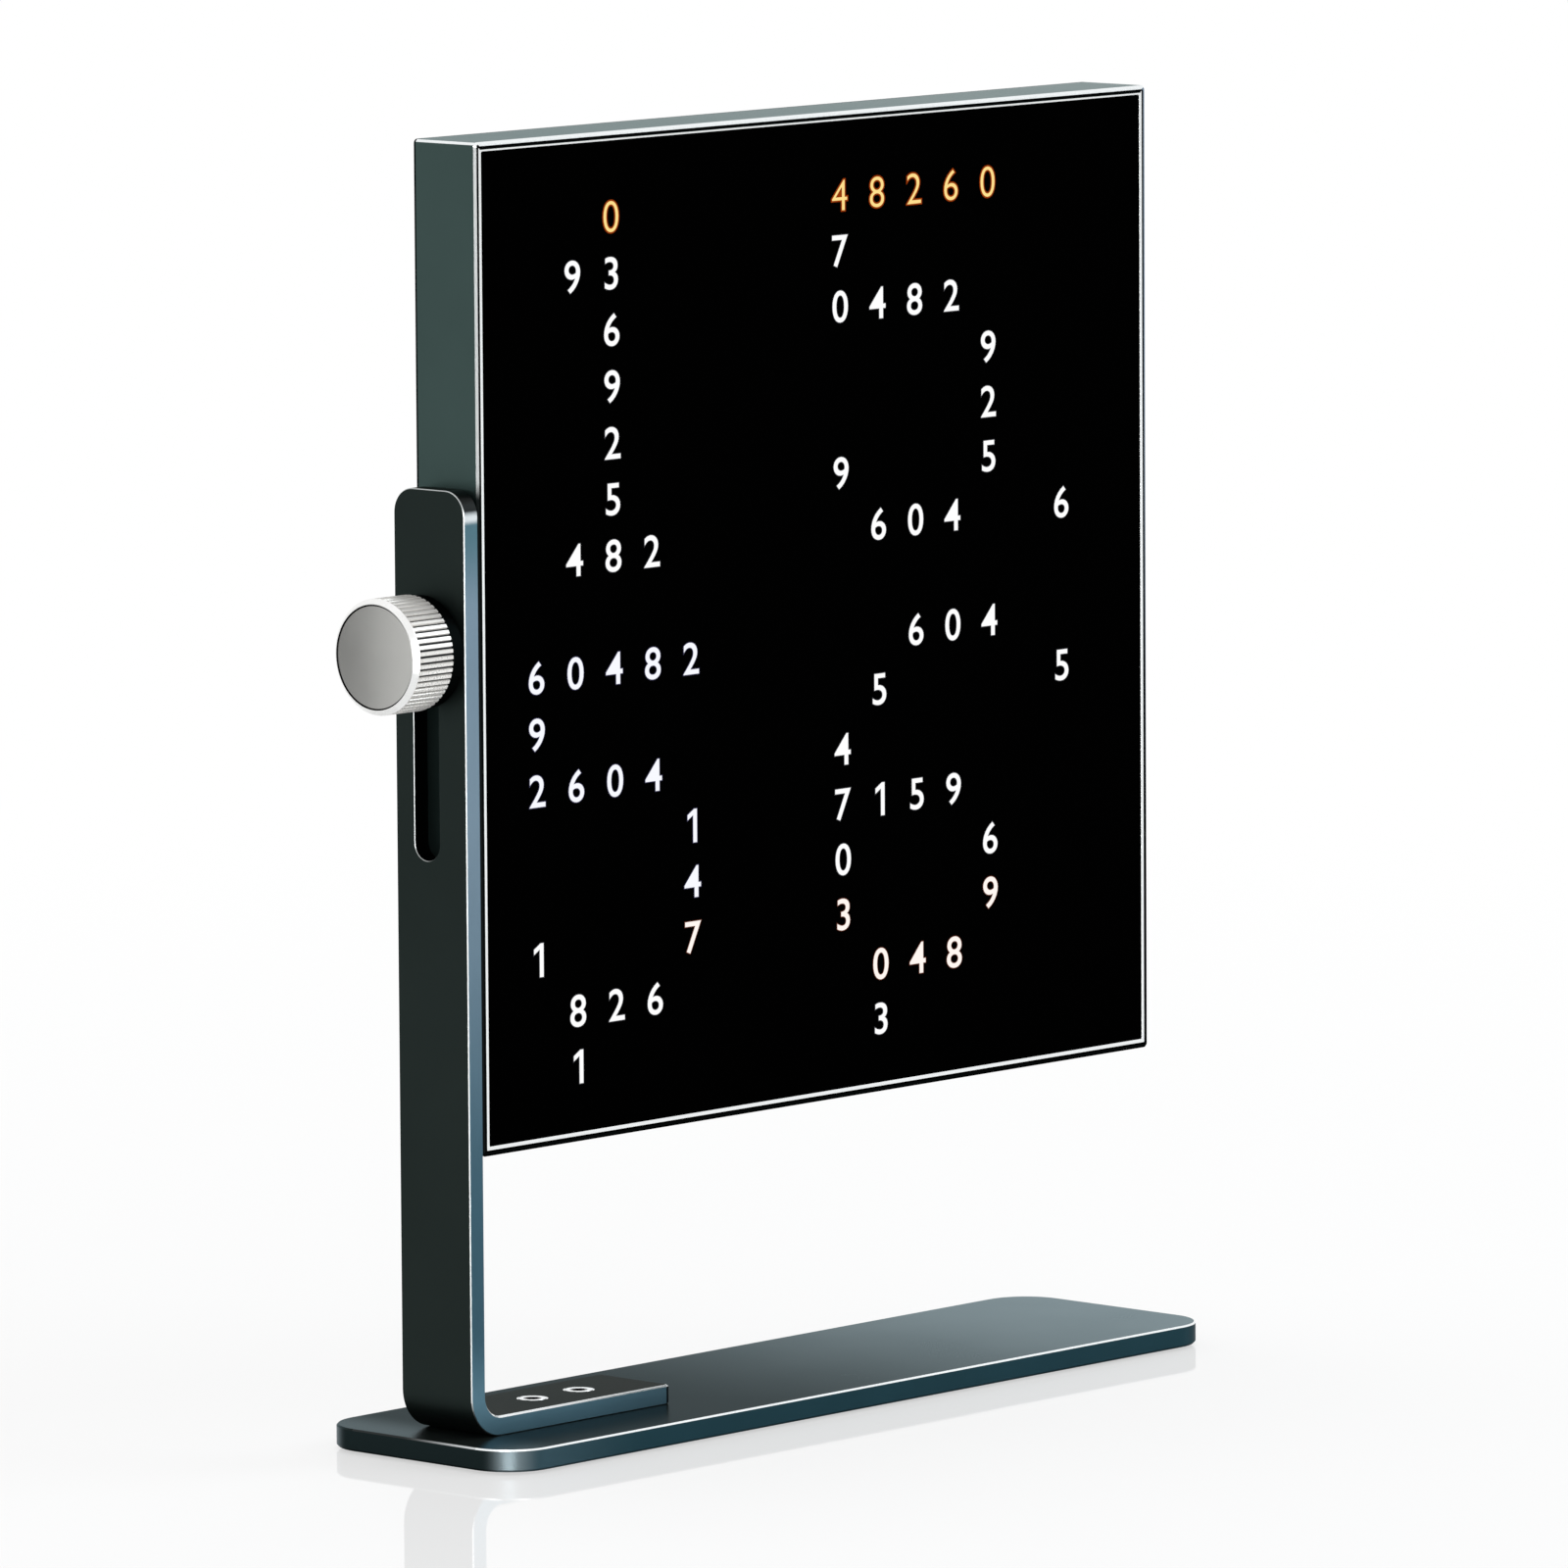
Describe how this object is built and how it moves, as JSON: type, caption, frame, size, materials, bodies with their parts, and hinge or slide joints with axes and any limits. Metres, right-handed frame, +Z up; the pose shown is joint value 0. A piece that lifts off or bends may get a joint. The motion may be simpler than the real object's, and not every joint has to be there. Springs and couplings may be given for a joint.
{
  "type": "digital table clock",
  "caption": "Square black numeral display in a slim slate frame, held at one side by a slotted upright on a flat base; a ridged knob clamps its height and tilt.",
  "frame": {"origin": "middle of the anti-slip pad's underside, on the surface that the clock stands on", "axes": "+Z up; the display faces -Y; the upright and its knob are on the -X side"},
  "size_m": [0.1968, 0.048, 0.2326],
  "materials": {
    "slate_plate": "satin slate coating",
    "pad_rubber": "matt",
    "slate_bracket": "satin slate anodising",
    "slate_frame": "satin slate anodising",
    "screw_steel": "machined",
    "nylon": "natural nylon",
    "friction_fibre": "matt",
    "knob_metal": "turned and brushed",
    "bright_trim": "polished",
    "black_glass": "gloss, black backed",
    "printed_film": "printed film",
    "diffuser_white": "translucent white",
    "baffle_black": "moulded",
    "board_green": "solder mask",
    "led_white": "chip package",
    "block_brass": "machined",
    "chip_black": "moulded",
    "can_steel": "drawn can",
    "switch_black": "moulded",
    "cover_plastic": "fine moulded texture",
    "button_plastic": "satin",
    "plunger_plastic": "moulded"
  },
  "bodies": {
    "stand": {"base_plate": "slate_plate", "anti_slip_pad": "pad_rubber", "upright_bracket": "slate_bracket", "foot_screws": "screw_steel"},
    "slider": {"slot_bush": "nylon", "friction_washer": "friction_fibre"},
    "washer": {"clamp_washer": "screw_steel"},
    "knob": {"clamp_knob": "knob_metal", "knob_cap": "knob_metal", "clamp_stud": "screw_steel"},
    "display": {"display_frame": "slate_frame", "trim_ring": "bright_trim", "front_glass": "black_glass", "numeral_film": "printed_film", "diffuser_sheet": "diffuser_white", "baffle_grid": "baffle_black", "led_board": "board_green", "led_chips": "led_white", "clamp_block": "block_brass", "clamp_block_screws": "screw_steel", "control_board": "board_green", "control_board_screws": "screw_steel", "link_pins": "block_brass", "processor_chip": "chip_black", "clock_chip": "chip_black", "clock_crystal": "can_steel", "cell_holder": "switch_black", "coin_cell": "can_steel", "usb_socket": "can_steel", "usb_tongue": "switch_black", "tact_switches": "switch_black", "rear_cover": "cover_plastic", "rear_cover_screws": "screw_steel"},
    "set_key": {"set_button": "button_plastic", "set_plunger": "plunger_plastic"},
    "plus_key": {"plus_button": "button_plastic", "plus_plunger": "plunger_plastic"},
    "minus_key": {"minus_button": "button_plastic", "minus_plunger": "plunger_plastic"}
  },
  "joints": [
    {"name": "height_slide", "type": "slide", "parent": "stand", "child": "slider", "axis": [0, 0, 1], "range_m": [-0.034, 0.004]},
    {"name": "display_tilt", "type": "hinge", "parent": "slider", "child": "display", "pos_m": [-0.0849, 0, 0.1434], "axis": [-1, 0, 0], "range_deg": [-45, 45]},
    {"name": "knob_back_off", "type": "slide", "parent": "slider", "child": "washer", "axis": [-1, 0, 0], "range_m": [0, 0.0007]},
    {"name": "knob_turn", "type": "hinge", "parent": "washer", "child": "knob", "pos_m": [-0.0849, 0, 0.1434], "axis": [-1, 0, 0], "range_deg": [0, 360]},
    {"name": "set_press", "type": "slide", "parent": "display", "child": "set_key", "axis": [0, -1, 0], "range_m": [0, 0.0005], "stiffness_N_per_m": 600},
    {"name": "plus_press", "type": "slide", "parent": "display", "child": "plus_key", "axis": [0, -1, 0], "range_m": [0, 0.0005], "stiffness_N_per_m": 600},
    {"name": "minus_press", "type": "slide", "parent": "display", "child": "minus_key", "axis": [0, -1, 0], "range_m": [0, 0.0005], "stiffness_N_per_m": 600}
  ],
  "couplings": [
    {"joint": "knob_turn", "follows": "knob_back_off", "rad_per_m": 8976}
  ]
}
